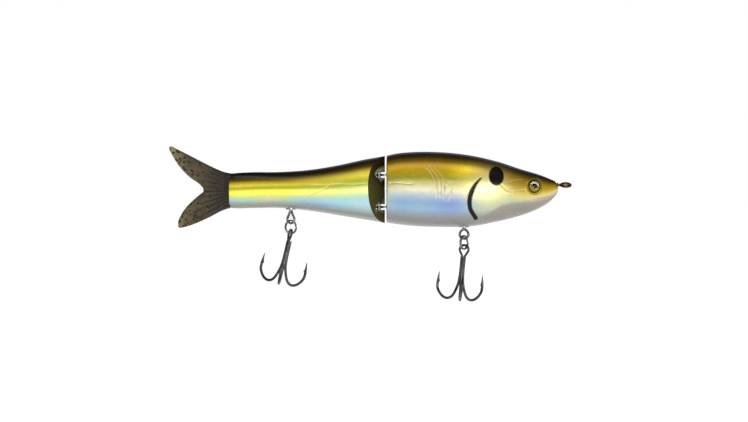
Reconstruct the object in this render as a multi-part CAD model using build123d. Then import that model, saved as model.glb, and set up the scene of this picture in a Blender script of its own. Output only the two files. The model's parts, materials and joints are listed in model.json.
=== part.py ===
from build123d import *
import math
import os

os.makedirs("parts", exist_ok=True)

# the centre of the line tie's loop is the origin; +X is the nose, +Z the back, +Y the fish's left

# overall sizes of the hard body
head_length = 73.9
rear_length = 67.1
body_height = 32.4
body_width = 21.0
wall = 1.8
fit_gap = 0.05
running_gap = 0.05
section_fullness = 2.5
widest_share = 0.54

# line tie
tie_loop_radius = 2.0
tie_wire_radius = 0.6
tie_shank_length = 12.0
tie_roll = 20.0
nose_x = -3.3

# joint between the two sections
joint_gap = 0.7
hinge_setback = 2.6
bevel_angle = 38.0
hinge_wire_radius = 0.5
hinge_pin_radius = 0.8
hinge_eye_play = 0.15
hinge_shank_length = 12.0
hinge_eye_high = 0.133 * body_height
hinge_eye_low = -0.293 * body_height
slot_height = 2.4
slot_half_width = 0.467 * body_width / 2
slot_rear_clearance = 0.55
pin_end_cover = 3.6

# collar that keeps a wire eye in its moulded pocket
collar_extra_radius = 0.7
collar_length = 1.2
collar_from_end = 1.8

# hook hangers and the barrels they turn in
hanger_loop_radius = 2.1
hanger_wire_radius = 0.55
hanger_stem_radius = 0.7
button_radius = 1.3
button_length = 1.0
button_side_play = 0.15
button_end_play = 0.1
barrel_radius = 2.2
barrel_length = 6.4
barrel_proud = 0.2
barrel_lower_bore = 3.0
barrel_boss = 1.4
front_hanger_share = 0.548
rear_hanger_share = 0.604
front_neck = 0.15
rear_neck = 1.15
front_hanger_yaw = -30.0
rear_hanger_yaw = -42.0

# split rings, two turns of wire
ring_outer_radius = 3.2
ring_wire = 0.60
ring_pitch = 0.66
link_gap = 0.42
front_ring_yaw = 56.0
rear_ring_yaw = 42.0

# treble hooks
hook_wire_radius = 0.525
hook_length = 24.6
hook_spread = 11.8
hook_eye_radius = 1.95
hook_throat = 12.0
hook_bottom_radius = 6.1
hook_bend_start = 9.0
hook_gather = 1.02
hook_link_gap = 0.90
point_length = 3.8
point_tip_radius = 0.06
barb_half_thickness = 0.25
braze_length = 4.0
front_treble_tilt = 5.6
rear_treble_tilt = 13.0
front_treble_yaw = -13.0
rear_treble_yaw = 111.0
front_tine_turn = 13.0
rear_tine_turn = 9.0

# weights
ballast_radius = 4.1
ballast_length = 13.0
rear_ballast_radius = 3.6
rear_ballast_length = 11.0
ballast_wall = 1.3

# eyes
eye_share = 0.143
eye_z = -0.025 * body_height
eye_radius = 2.85
eye_rim_radius = 3.7
eye_rim_proud = 0.35
eye_disc_thickness = 0.7
eye_dome_height = 1.15
eye_pocket_depth = 1.5

# pegs that line up the two halves
peg_radius = 1.2
peg_length = 1.9
peg_boss_radius = 2.5

# soft tail
tail_thickness = 3.4
tail_tip_thickness = 1.0
tongue_thickness = 2.0
tongue_length = 11.5
tongue_height = 9.6
tail_flange_length = 4.2
knuckle_gap = 0.15
tail_tip_back = 25.9

head_rear_x = nose_x - head_length
rear_front_x = head_rear_x - joint_gap
rear_end_x = rear_front_x - rear_length
hinge_x = rear_front_x - hinge_setback
half_width = body_width / 2
hinge_loop_radius = hinge_pin_radius + hinge_eye_play + hinge_wire_radius
tail_hinge_x = rear_end_x - tail_flange_length

# each row: share of the section's length, then back, belly and half width as shares of the body's size
head_rows = [
    (0.000, -0.020, -0.080, 0.09),
    (0.012, 0.040, -0.133, 0.23),
    (0.047, 0.080, -0.219, 0.38),
    (0.116, 0.142, -0.318, 0.56),
    (0.222, 0.216, -0.410, 0.74),
    (0.361, 0.315, -0.491, 0.90),
    (0.524, 0.395, -0.556, 0.98),
    (0.700, 0.438, -0.559, 1.00),
    (0.850, 0.438, -0.546, 0.985),
    (0.945, 0.417, -0.522, 0.96),
    (1.000, 0.378, -0.500, 0.93),
]
rear_rows = [
    (0.000, 0.386, -0.506, 0.93),
    (0.145, 0.333, -0.457, 0.87),
    (0.295, 0.265, -0.407, 0.76),
    (0.475, 0.204, -0.346, 0.63),
    (0.685, 0.173, -0.306, 0.47),
    (0.865, 0.167, -0.309, 0.34),
    (0.965, 0.154, -0.309, 0.28),
    (1.000, 0.130, -0.290, 0.21),
]


def stations(rows, front_x, length):
    """Turn share rows into (x, back z, belly z, half width) in millimetres."""
    return [
        (front_x - share * length, back * body_height, belly * body_height, wide * half_width)
        for share, back, belly, wide in rows
    ]


head_stations = stations(head_rows, nose_x, head_length)
rear_stations = stations(rear_rows, rear_front_x, rear_length)


def body_at(rows, x):
    """Back z, belly z and half width of a section at one x, between its stations."""
    for front, back in zip(rows, rows[1:]):
        if front[0] >= x >= back[0]:
            share = (front[0] - x) / (front[0] - back[0])
            return [a + (b - a) * share for a, b in zip(front[1:], back[1:])]
    raise ValueError(x)


def section_face(x, top, bottom, wide):
    """The left half of one cross-section: a flat-sided oval closed along the middle plane."""
    power = 2 / section_fullness
    widest = bottom + widest_share * (top - bottom)
    points = []
    angles = (90, 64, 38, 0, -38, -64, -90)
    for angle in angles:
        up = math.sin(math.radians(angle))
        out = math.cos(math.radians(angle))
        reach = top - widest if up > 0 else widest - bottom
        height = widest + math.copysign(abs(up) ** power, up) * reach
        points.append((wide * abs(out) ** power if abs(up) < 1 else 0, height))
    plane = Plane(origin=(x, 0, 0), x_dir=(0, 1, 0), z_dir=(1, 0, 0))
    along = [(90 - angle) / 180 for angle in angles]
    skin = Edge.make_spline([Vector(*point) for point in points], [Vector(1, 0), Vector(-1, 0)], parameters=along)
    middle = Edge.make_line(points[-1], points[0])
    return plane * make_face([skin, middle])


def half_body(rows):
    return loft([section_face(*row) for row in rows])


def half_cavity(rows, front_x, back_x):
    """The hollow inside one half, one wall in from the skin, between two x values."""
    inner = [row for row in rows if front_x > row[0] > back_x]
    inner = [(front_x, *body_at(rows, front_x))] + inner + [(back_x, *body_at(rows, back_x))]
    return loft([section_face(x, top - wall, bottom + wall, wide - wall) for x, top, bottom, wide in inner])


def rod_x(x_front, x_back, z, radius):
    length = x_front - x_back
    return Pos((x_front + x_back) / 2, 0, z) * Rot(0, 90, 0) * Cylinder(radius, length)


def rod_y(x, z, y_from, y_to, radius):
    return Pos(x, (y_from + y_to) / 2, z) * Rot(90, 0, 0) * Cylinder(radius, abs(y_to - y_from))


def rod_z(x, z_low, z_high, radius):
    return Pos(x, 0, (z_low + z_high) / 2) * Cylinder(radius, z_high - z_low)


def eye_plane():
    """Sits on the left cheek, facing outward."""
    x = nose_x - eye_share * head_length
    step = 4.0
    ahead = body_at(head_stations, x + step)[2]
    behind = body_at(head_stations, x - step)[2]
    here = body_at(head_stations, x)[2]
    slope = (behind - ahead) / (2 * step)
    return Plane(origin=(x, here, eye_z), x_dir=(1, -slope, 0), z_dir=(slope, 1, 0))


def on_eye(shape, low):
    """Place a shape made along Z so its base stands the given height above the cheek."""
    return eye_plane() * Pos(0, 0, low) * shape


def eye_cylinder(radius, low, high):
    return on_eye(Cylinder(radius, high - low, align=(Align.CENTER, Align.CENTER, Align.MIN)), low)


def collar_pocket(end_x, z, wire_radius, toward_tail):
    """Room for the collar near the buried end of a wire eye."""
    near = end_x + collar_from_end * toward_tail
    far = near + collar_length * toward_tail
    low = min(near, far) - fit_gap
    high = max(near, far) + fit_gap
    return rod_x(high, low, z, wire_radius + collar_extra_radius + fit_gap)


def tie_end_x():
    return -tie_loop_radius - tie_shank_length


def hinge_end_x():
    return hinge_x + hinge_loop_radius + hinge_shank_length


def hanger_x(front):
    if front:
        return nose_x - front_hanger_share * head_length
    return rear_front_x - rear_hanger_share * rear_length


def barrel_base(front):
    """Height of the underside of a hanger barrel."""
    rows = head_stations if front else rear_stations
    return body_at(rows, hanger_x(front))[1] - barrel_proud


def ballast_places():
    """Centre x and z of the two head weights."""
    first = nose_x - 0.385 * head_length
    second = nose_x - 0.715 * head_length
    return [(first, -0.225 * body_height), (second, -0.31 * body_height)]


def rear_ballast_place():
    return rear_front_x - 0.305 * rear_length, -0.13 * body_height


def head_peg_places():
    shares = ((0.30, 0.12), (0.56, 0.26), (0.84, 0.26), (0.84, -0.38))
    return [(nose_x - along * head_length, up * body_height) for along, up in shares]


def rear_peg_places():
    shares = ((0.23, 0.17), (0.46, 0.04), (0.74, -0.20))
    return [(rear_front_x - along * rear_length, up * body_height) for along, up in shares]


def barrel_hole(front):
    base = barrel_base(front)
    x = hanger_x(front)
    return rod_z(x, base - wall, base + barrel_length + fit_gap, barrel_radius + fit_gap)


def barrel_block(front):
    base = barrel_base(front)
    x = hanger_x(front)
    return rod_z(x, base - wall, base + barrel_length + barrel_boss, barrel_radius + barrel_boss)


def half_head():
    """The left half of the head with everything the two halves share."""
    body = half_body(head_stations)
    hollow = half_cavity(head_stations, nose_x - 0.20 * head_length, head_rear_x + 0.15 * head_length)
    hollow -= barrel_block(True)
    for x, z in ballast_places():
        hollow -= rod_y(x, z, -half_width, half_width, ballast_radius + ballast_wall)
    for x, z in head_peg_places():
        hollow -= rod_y(x, z, -half_width, half_width, peg_boss_radius)
    body -= hollow
    for x, z in ballast_places():
        reach = ballast_length / 2 + fit_gap
        body -= rod_y(x, z, -reach, reach, ballast_radius + fit_gap)
    body -= barrel_hole(True)
    body += eye_cylinder(eye_rim_radius, -eye_pocket_depth, eye_rim_proud)
    body -= eye_cylinder(eye_radius + fit_gap, -eye_pocket_depth, eye_rim_proud + 1)
    body -= rod_x(nose_x + 2, tie_end_x() - fit_gap, 0, tie_wire_radius)
    body -= collar_pocket(tie_end_x(), 0, tie_wire_radius, 1)
    for z in (hinge_eye_high, hinge_eye_low):
        body -= rod_x(hinge_end_x() + fit_gap, head_rear_x - 2, z, hinge_wire_radius)
        body -= collar_pocket(hinge_end_x(), z, hinge_wire_radius, -1)
    return body


def bevel_block():
    """Everything ahead of the left bevel of the rear section."""
    size = 4 * half_width
    block = Box(size, 2 * size, 4 * body_height, align=(Align.MIN, Align.CENTER, Align.CENTER))
    return Pos(rear_front_x, 0, 0) * Rot(0, 0, bevel_angle) * block


def hinge_slot(z):
    back = hinge_x - hinge_loop_radius - hinge_wire_radius - slot_rear_clearance
    length = rear_front_x + 1 - back
    slot = Box(length, 2 * slot_half_width, slot_height)
    return Pos(back + length / 2, 0, z) * slot


def pin_ends():
    top, bottom, _ = body_at(rear_stations, hinge_x)
    return bottom + pin_end_cover, top - pin_end_cover


def tongue_box(extra):
    length = tongue_length + 2 * extra
    thick = tongue_thickness + 2 * extra
    tall = tongue_height + 2 * extra
    middle_z = -0.08 * body_height
    return Pos(rear_end_x + tongue_length / 2, 0, middle_z) * Box(length, thick, tall)


def tongue_peg_place():
    return rear_end_x + 0.62 * tongue_length, -0.08 * body_height


def half_rear():
    """The left half of the rear section with everything the two halves share."""
    body = half_body(rear_stations)
    hollow = half_cavity(rear_stations, rear_front_x - 0.16 * rear_length, rear_end_x + 0.22 * rear_length)
    hollow -= barrel_block(False)
    ballast_x, ballast_z = rear_ballast_place()
    hollow -= rod_y(ballast_x, ballast_z, -half_width, half_width, rear_ballast_radius + ballast_wall)
    for x, z in rear_peg_places():
        hollow -= rod_y(x, z, -half_width, half_width, peg_boss_radius)
    body -= hollow
    reach = rear_ballast_length / 2 + fit_gap
    body -= rod_y(ballast_x, ballast_z, -reach, reach, rear_ballast_radius + fit_gap)
    body -= barrel_hole(False)
    body -= bevel_block()
    for z in (hinge_eye_high, hinge_eye_low):
        body -= hinge_slot(z)
    low, high = pin_ends()
    body -= rod_z(hinge_x, low, high, hinge_pin_radius)
    body -= tongue_box(fit_gap)
    return body


def with_sockets(half, places):
    for x, z in places:
        half -= rod_y(x, z, -1, peg_length + 0.3, peg_radius + fit_gap)
    return half


def with_pegs(half, places):
    """The right half: the left half mirrored, its pegs reaching across the middle plane."""
    right = mirror(half, about=Plane.XZ)
    for x, z in places:
        right += rod_y(x, z, -0.5, peg_length, peg_radius)
    return right


def tongue_peg_right(half):
    """A peg on the right half that passes through the hole in the tail's tongue."""
    x, z = tongue_peg_place()
    return half + rod_y(x, z, -tongue_thickness / 2 - 0.5, tongue_thickness / 2 + 0.8, peg_radius)


def tongue_peg_left(half):
    x, z = tongue_peg_place()
    return half - rod_y(x, z, 0, tongue_thickness / 2 + 1.0, peg_radius + fit_gap)


def wire_eye(loop_radius, wire_radius, shank_length):
    """A closed wire loop in the XY plane with a collared shank running along -X."""
    shank = rod_x(-loop_radius, -loop_radius - shank_length, 0, wire_radius)
    near = -loop_radius - shank_length + collar_from_end
    collar = rod_x(near + collar_length, near, 0, wire_radius + collar_extra_radius)
    return Torus(loop_radius, wire_radius) + shank + collar


def line_tie():
    return Rot(tie_roll, 0, 0) * wire_eye(tie_loop_radius, tie_wire_radius, tie_shank_length)


def hinge_eye(z):
    eye = wire_eye(hinge_loop_radius, hinge_wire_radius, hinge_shank_length)
    return Pos(hinge_x, 0, z) * Rot(0, 0, 180) * eye


def hinge_pin():
    low, high = pin_ends()
    return rod_z(hinge_x, low, high, hinge_pin_radius)


def ballast(x, z, radius, length):
    return chamfer(rod_y(x, z, -length / 2, length / 2, radius).edges(), 0.4)


def eye_disc():
    low = -eye_pocket_depth
    return eye_cylinder(eye_radius, low, low + eye_disc_thickness)


def eye_dome():
    """A clear lens: a short cylinder in the pocket with a round cap standing proud of the rim."""
    low = -eye_pocket_depth + eye_disc_thickness
    top = eye_rim_proud + eye_dome_height
    cap = top - eye_rim_proud
    ball_radius = (eye_radius ** 2 + cap ** 2) / (2 * cap)
    lens = eye_cylinder(eye_radius, low, top)
    return lens & on_eye(Sphere(ball_radius), top - ball_radius)


def hanger_barrel(front):
    x = hanger_x(front)
    base = barrel_base(front)
    barrel = rod_z(x, base, base + barrel_length, barrel_radius)
    barrel -= rod_z(x, base - 1, base + barrel_lower_bore, hanger_stem_radius + running_gap)
    barrel -= rod_z(x, base + barrel_lower_bore, base + barrel_length, button_radius + button_side_play)
    return barrel


def hanger_loop_z(front):
    neck = front_neck if front else rear_neck
    return barrel_base(front) - neck - hanger_loop_radius - hanger_wire_radius


def hanger(front):
    x = hanger_x(front)
    loop_z = hanger_loop_z(front)
    yaw = front_hanger_yaw if front else rear_hanger_yaw
    button_low = barrel_base(front) + barrel_lower_bore + button_end_play
    loop = Pos(x, 0, loop_z) * Rot(0, 0, yaw) * Rot(90, 0, 0) * Torus(hanger_loop_radius, hanger_wire_radius)
    stem = rod_z(x, loop_z + hanger_loop_radius, button_low + button_length / 2, hanger_stem_radius)
    button = rod_z(x, button_low, button_low + button_length, button_radius)
    return loop + stem + button


def ring_centre_z(front):
    inner = ring_outer_radius - ring_wire
    return hanger_loop_z(front) - hanger_loop_radius + hanger_wire_radius + link_gap - inner


def split_ring(front):
    """Two turns of square wire."""
    middle_radius = ring_outer_radius - ring_wire / 2
    path = Helix(ring_pitch, 2 * ring_pitch, middle_radius, center=(0, 0, -ring_pitch))
    start = Plane(origin=path @ 0, z_dir=path % 0)
    coil = sweep(start * Rectangle(ring_wire, ring_wire), path=path, is_frenet=True)
    yaw = front_ring_yaw if front else rear_ring_yaw
    return Pos(hanger_x(front), 0, ring_centre_z(front)) * Rot(0, 0, yaw) * Rot(90, 0, 0) * coil


def tine_path():
    """One hook wire in its own upright plane: straight shank, round bend and leaning point."""
    shank_radius = 2 * hook_wire_radius / math.sqrt(3) * hook_gather
    outer = hook_spread - hook_wire_radius
    low = -hook_length + hook_wire_radius
    end_z = -hook_length + hook_throat - point_length
    shank_end = (shank_radius, -0.46 * hook_length)
    points = [
        shank_end,
        (1.7 * shank_radius, low + 0.79 * hook_bend_start),
        (0.42 * hook_bottom_radius, low + 0.31 * hook_bend_start),
        (hook_bottom_radius, low),
        (0.88 * outer, low + 0.23 * hook_bend_start),
        (outer, low + 0.57 * hook_bend_start),
        (outer - 0.1, end_z),
    ]
    lean = (-0.3, point_length)
    shank = Line((shank_radius, -2.75 * hook_eye_radius), shank_end)
    bend = Spline(*points, tangents=[(0, -1), lean])
    return shank, bend, lean


def tine(azimuth):
    """One hook wire with its point and barb, spreading toward the given direction."""
    shank, bend, lean = tine_path()
    plane = Plane(origin=(0, 0, 0), x_dir=(1, 0, 0), z_dir=(0, -1, 0))
    start = Plane(origin=(shank @ 0).X * Vector(1, 0, 0) + (shank @ 0).Y * Vector(0, 0, 1), z_dir=(0, 0, -1))
    path = plane * (shank + bend)
    wire = sweep(start * Circle(hook_wire_radius), path=path)
    end = bend @ 1
    heading = Vector(lean[0], 0, lean[1]).normalized()
    point_plane = Plane(origin=(end.X, 0, end.Y), z_dir=(heading.X, 0, heading.Z))
    base_align = (Align.CENTER, Align.CENTER, Align.MIN)
    point = point_plane * Cone(hook_wire_radius, point_tip_radius, point_length, align=base_align)
    barb_face = make_face(Polyline((-0.1, 0.6), (-1.15, -0.7), (-0.3, -1.3), (0, -1.0), close=True))
    barb = extrude(plane * Pos(end.X, end.Y, 0) * barb_face, barb_half_thickness, both=True)
    return Rot(0, 0, azimuth) * (wire + point + barb)


def hook_eye_wire():
    """The eye at the top of a treble: one wire over the top and down both sides to the shanks."""
    offset = hook_wire_radius * hook_gather
    centre_z = -hook_wire_radius - hook_eye_radius
    spread = hook_eye_radius * math.cos(math.radians(25))
    drop = centre_z - hook_eye_radius * math.sin(math.radians(25))
    low = -2.9 * hook_eye_radius
    over = ThreePointArc((spread, drop), (0, centre_z + hook_eye_radius), (-spread, drop))
    down = Spline((-spread, drop), (-offset, low), tangents=[over % 1, (0, -1)])
    up = Spline((offset, low), (spread, drop), tangents=[(0, 1), over % 0])
    side = offset / math.sqrt(3)
    plane = Plane(origin=(0, side, 0), x_dir=(1, 0, 0), z_dir=(0, -1, 0))
    start = Plane(origin=(offset, side, low), z_dir=(0, 0, 1))
    return sweep(start * Circle(hook_wire_radius), path=plane * (up + over + down))


def treble_pivot_z(front):
    """Middle of the wire at the bottom of the split ring, which the treble swings on."""
    return ring_centre_z(front) - ring_outer_radius + ring_wire / 2


def place_treble(shape, front):
    eye_top = ring_wire / 2 + hook_link_gap + 2 * hook_wire_radius
    yaw = front_treble_yaw if front else rear_treble_yaw
    tilt = front_treble_tilt if front else rear_treble_tilt
    pivot = Pos(hanger_x(front), 0, treble_pivot_z(front))
    return pivot * Rot(0, tilt, 0) * Rot(0, 0, yaw) * Pos(0, 0, eye_top) * shape


def treble_pair(front):
    """The two-point wire with the eye, and the third point brazed to it."""
    turn = front_tine_turn if front else rear_tine_turn
    single = tine(270 + turn)
    braze_top = -2.9 * hook_eye_radius - 0.3
    braze = rod_z(0, braze_top - braze_length, braze_top, hook_wire_radius * 1.05)
    double = hook_eye_wire() + tine(30 + turn) + tine(150 + turn) + braze - single
    return [place_treble(piece, front) for piece in (double, single)]


def tail_outline():
    """Side view of the soft forked fin, as distances behind the hinge line and heights."""
    back = tail_tip_back
    high = 0.52 * body_height
    low = -0.575 * body_height
    root_high = 0.150 * body_height
    root_low = -0.315 * body_height
    notch = (-0.27 * back, -0.068 * body_height)
    upper_tip = (-back + tail_flange_length, high)
    lower_tip = (-0.66 * back, low)
    top_edge = Spline((0, root_high), (-0.40 * back, 0.33 * body_height), upper_tip)
    upper_back = Spline(upper_tip, (-0.60 * back, 0.20 * body_height), notch, tangents=[(0.5, -1), (0.6, -1)])
    lower_back = Spline(notch, (-0.50 * back, -0.27 * body_height), lower_tip, tangents=[(-0.6, -1), (0.1, -1)])
    bottom_edge = Spline(lower_tip, (-0.20 * back, -0.43 * body_height), (0, root_low))
    root = Line((0, root_low), (0, root_high))
    return make_face([top_edge, upper_back, lower_back, bottom_edge, root]), root_low, root_high


def upright(x):
    return Plane(origin=(x, 0, 0), x_dir=(1, 0, 0), z_dir=(0, -1, 0))


def tail_fin():
    outline, root_low, root_high = tail_outline()
    blade = extrude(upright(tail_hinge_x) * outline, tail_thickness, both=True)
    reach = 2 * tail_tip_back
    half_root = tail_thickness / 2
    half_end = half_root - (tail_thickness - tail_tip_thickness) * reach / tail_tip_back / 2
    half_end = max(half_end, 0.1)
    taper = make_face(Polyline((0, half_root), (-reach, half_end), (-reach, -half_end), (0, -half_root), close=True))
    wedge = extrude(Pos(tail_hinge_x, 0, 0) * taper, 2 * body_height, both=True)
    return (blade & wedge) + rod_z(tail_hinge_x, root_low, root_high, half_root)


def tail_root():
    """The tongue in the rear section and the short flange behind it."""
    _, root_low, root_high = tail_outline()
    length = tail_flange_length
    flange = Box(length, tail_thickness, root_high - root_low, align=(Align.MAX, Align.CENTER, Align.MIN))
    root = Pos(rear_end_x, 0, root_low) * flange
    root += tongue_box(0)
    x, z = tongue_peg_place()
    root -= rod_y(x, z, -tongue_thickness, tongue_thickness, peg_radius + fit_gap)
    root -= rod_z(tail_hinge_x, root_low - 1, root_high + 1, tail_thickness / 2 + knuckle_gap)
    return root


def save(shape, name):
    shape.label = name
    export_step(shape, "parts/" + name + ".step")


def build():
    half = half_head()
    save(with_sockets(half, head_peg_places()), "head_shell_left")
    save(with_pegs(half, head_peg_places()), "head_shell_right")
    half = half_rear()
    save(tongue_peg_left(with_sockets(half, rear_peg_places())), "rear_shell_left")
    save(tongue_peg_right(with_pegs(half, rear_peg_places())), "rear_shell_right")
    save(line_tie(), "line_tie")
    save(hinge_eye(hinge_eye_high), "hinge_eye_upper")
    save(hinge_eye(hinge_eye_low), "hinge_eye_lower")
    save(hinge_pin(), "hinge_pin")
    for name, place in zip(("head_ballast_front", "head_ballast_rear"), ballast_places()):
        save(ballast(*place, ballast_radius, ballast_length), name)
    save(ballast(*rear_ballast_place(), rear_ballast_radius, rear_ballast_length), "rear_ballast")
    for name, shape in (("eye_disc", eye_disc()), ("eye_dome", eye_dome())):
        save(shape, name + "_left")
        save(mirror(shape, about=Plane.XZ), name + "_right")
    for end, front in (("front", True), ("rear", False)):
        save(hanger_barrel(front), end + "_hanger_barrel")
        save(hanger(front), end + "_hanger")
        save(split_ring(front), end + "_split_ring")
        double, single = treble_pair(front)
        save(double, end + "_treble_double")
        save(single, end + "_treble_single")
    save(tail_root(), "tail_root")
    save(tail_fin(), "tail_fin")


build()
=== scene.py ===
import bpy
import bmesh
import json
import math
import numpy as np
from mathutils import Matrix, Vector
from mathutils.geometry import delaunay_2d_cdt


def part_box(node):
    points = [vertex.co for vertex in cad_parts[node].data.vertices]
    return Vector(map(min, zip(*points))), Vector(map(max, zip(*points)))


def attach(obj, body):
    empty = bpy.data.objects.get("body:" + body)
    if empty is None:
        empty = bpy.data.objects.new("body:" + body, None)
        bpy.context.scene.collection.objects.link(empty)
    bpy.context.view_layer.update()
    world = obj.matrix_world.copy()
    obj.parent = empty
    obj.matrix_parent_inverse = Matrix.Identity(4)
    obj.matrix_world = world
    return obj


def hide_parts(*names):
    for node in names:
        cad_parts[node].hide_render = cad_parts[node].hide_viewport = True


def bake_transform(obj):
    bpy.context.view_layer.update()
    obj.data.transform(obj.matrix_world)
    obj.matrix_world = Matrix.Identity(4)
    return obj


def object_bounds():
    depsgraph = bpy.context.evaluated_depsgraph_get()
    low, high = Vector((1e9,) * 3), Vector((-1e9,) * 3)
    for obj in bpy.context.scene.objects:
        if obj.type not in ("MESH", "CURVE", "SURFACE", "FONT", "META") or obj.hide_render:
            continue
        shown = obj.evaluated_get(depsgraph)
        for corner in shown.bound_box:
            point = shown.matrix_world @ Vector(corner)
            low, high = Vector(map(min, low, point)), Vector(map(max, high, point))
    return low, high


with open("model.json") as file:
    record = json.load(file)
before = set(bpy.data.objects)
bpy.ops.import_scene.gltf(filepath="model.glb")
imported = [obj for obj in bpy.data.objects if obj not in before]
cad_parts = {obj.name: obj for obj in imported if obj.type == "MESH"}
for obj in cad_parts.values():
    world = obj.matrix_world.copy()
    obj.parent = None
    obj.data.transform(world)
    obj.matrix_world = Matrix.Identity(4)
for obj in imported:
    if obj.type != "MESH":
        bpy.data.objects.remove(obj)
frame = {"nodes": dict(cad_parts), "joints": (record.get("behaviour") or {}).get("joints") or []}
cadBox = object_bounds()
joints = {j["name"]: j for j in frame["joints"]}
print("frame loaded:", len(frame["nodes"]), "nodes")

mm = 0.001


def tint(r, g, b):
    # paint colour in 0-255 to the linear values that the nodes want
    linear = [c / 255 / 12.92 if c < 11 else ((c / 255 + 0.055) / 1.055) ** 2.4 for c in (r, g, b)]
    return (*linear, 1.0)


def tintStops(stops):
    return [(place, tint(*color)) for place, color in stops]


def newMaterial(name, **settings):
    mat = bpy.data.materials.new(name)
    mat.use_nodes = True
    tree = mat.node_tree
    shader = tree.nodes["Principled BSDF"]
    for socket, value in settings.items():
        shader.inputs[socket.replace("_", " ")].default_value = value
    return mat, tree, shader


def colorRamp(tree, source, stops):
    node = tree.nodes.new("ShaderNodeValToRGB")
    while len(node.color_ramp.elements) < len(stops):
        node.color_ramp.elements.new(1.0)
    for element, (place, color) in zip(node.color_ramp.elements, sorted(stops)):
        element.position = place
        element.color = color
    tree.links.new(source, node.inputs["Fac"])
    return node.outputs["Color"]


def feedSocket(tree, socket, value):
    # a node output is linked, anything else is set on the socket
    if hasattr(value, "links"):
        tree.links.new(value, socket)
    else:
        socket.default_value = value


def mixColor(tree, factor, a, b, blend="MIX"):
    node = tree.nodes.new("ShaderNodeMix")
    node.data_type = "RGBA"
    node.blend_type = blend
    for socket, value in ((node.inputs[0], factor), (node.inputs[6], a), (node.inputs[7], b)):
        feedSocket(tree, socket, value)
    return node.outputs[2]


def mathNode(tree, operation, a, b=0.0, clamp=False):
    node = tree.nodes.new("ShaderNodeMath")
    node.operation = operation
    node.use_clamp = clamp
    for socket, value in zip(node.inputs, (a, b)):
        feedSocket(tree, socket, value)
    return node.outputs[0]


def attribute(tree, name):
    node = tree.nodes.new("ShaderNodeAttribute")
    node.attribute_name = name
    return node.outputs["Fac"]


def noiseAt(tree, scale, detail=3.0, stretch=(1, 1, 1), roughness=0.55):
    place = tree.nodes.new("ShaderNodeTexCoord")
    mapping = tree.nodes.new("ShaderNodeMapping")
    mapping.inputs["Scale"].default_value = stretch
    node = tree.nodes.new("ShaderNodeTexNoise")
    node.inputs["Scale"].default_value = scale
    node.inputs["Detail"].default_value = detail
    node.inputs["Roughness"].default_value = roughness
    tree.links.new(place.outputs["Object"], mapping.inputs["Vector"])
    tree.links.new(mapping.outputs["Vector"], node.inputs["Vector"])
    return node.outputs["Fac"]


def bumpFrom(tree, shader, height, distance, strength=1.0):
    node = tree.nodes.new("ShaderNodeBump")
    node.inputs["Strength"].default_value = strength
    node.inputs["Distance"].default_value = distance
    tree.links.new(height, node.inputs["Height"])
    tree.links.new(node.outputs["Normal"], shader.inputs["Normal"])


def rampValue(tree, source, low, high, toLow=0.0, toHigh=1.0):
    node = tree.nodes.new("ShaderNodeMapRange")
    for socket, value in (("From Min", low), ("From Max", high), ("To Min", toLow), ("To Max", toHigh)):
        node.inputs[socket].default_value = value
    tree.links.new(source, node.inputs["Value"])
    return node.outputs["Result"]


# metals, one finish each

metalFinish = {
    "steelWire": dict(base=(186, 182, 172), dark=(120, 114, 104), roughness=(0.16, 0.34), scratch=900),
    "hingeWire": dict(base=(206, 202, 186), dark=(140, 132, 112), roughness=(0.14, 0.30), scratch=900),
    "ringNickel": dict(base=(150, 149, 146), dark=(84, 82, 80), roughness=(0.18, 0.36), scratch=1100),
    "hookBlackNickel": dict(base=(92, 90, 90), dark=(40, 39, 40), roughness=(0.16, 0.34), scratch=1400),
    "tieBronze": dict(base=(112, 92, 48), dark=(38, 32, 22), roughness=(0.20, 0.38), scratch=900),
    "brassTurned": dict(base=(176, 148, 84), dark=(118, 94, 46), roughness=(0.22, 0.40), scratch=700),
}


def edgeWear(tree, low, high, amount):
    # corners rubbed brighter, broken up by noise
    shape = tree.nodes.new("ShaderNodeNewGeometry")
    corner = rampValue(tree, shape.outputs["Pointiness"], low, high)
    broken = rampValue(tree, noiseAt(tree, 520, 4), 0.35, 0.62)
    return mathNode(tree, "MULTIPLY", mathNode(tree, "MULTIPLY", corner, broken), amount, clamp=True)


def metalMaterial(name):
    finish = metalFinish[name]
    mat, tree, shader = newMaterial(name, Metallic=1.0, Specular_IOR_Level=0.5)
    cloud = noiseAt(tree, 260, 4)
    fine = noiseAt(tree, finish["scratch"], 2, stretch=(1, 1, 0.25))
    color = mixColor(tree, rampValue(tree, cloud, 0.35, 0.68), tint(*finish["base"]), tint(*finish["dark"]))
    bright = tint(*(min(c + 45, 235) for c in finish["base"]))
    color = mixColor(tree, edgeWear(tree, 0.53, 0.62, 0.5), color, bright)
    tree.links.new(color, shader.inputs["Base Color"])
    low, high = finish["roughness"]
    tree.links.new(rampValue(tree, fine, 0.3, 0.7, low, high), shader.inputs["Roughness"])
    bumpFrom(tree, shader, fine, 0.00003, 0.5)
    return mat


metals = {name: metalMaterial(name) for name in metalFinish}

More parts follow.
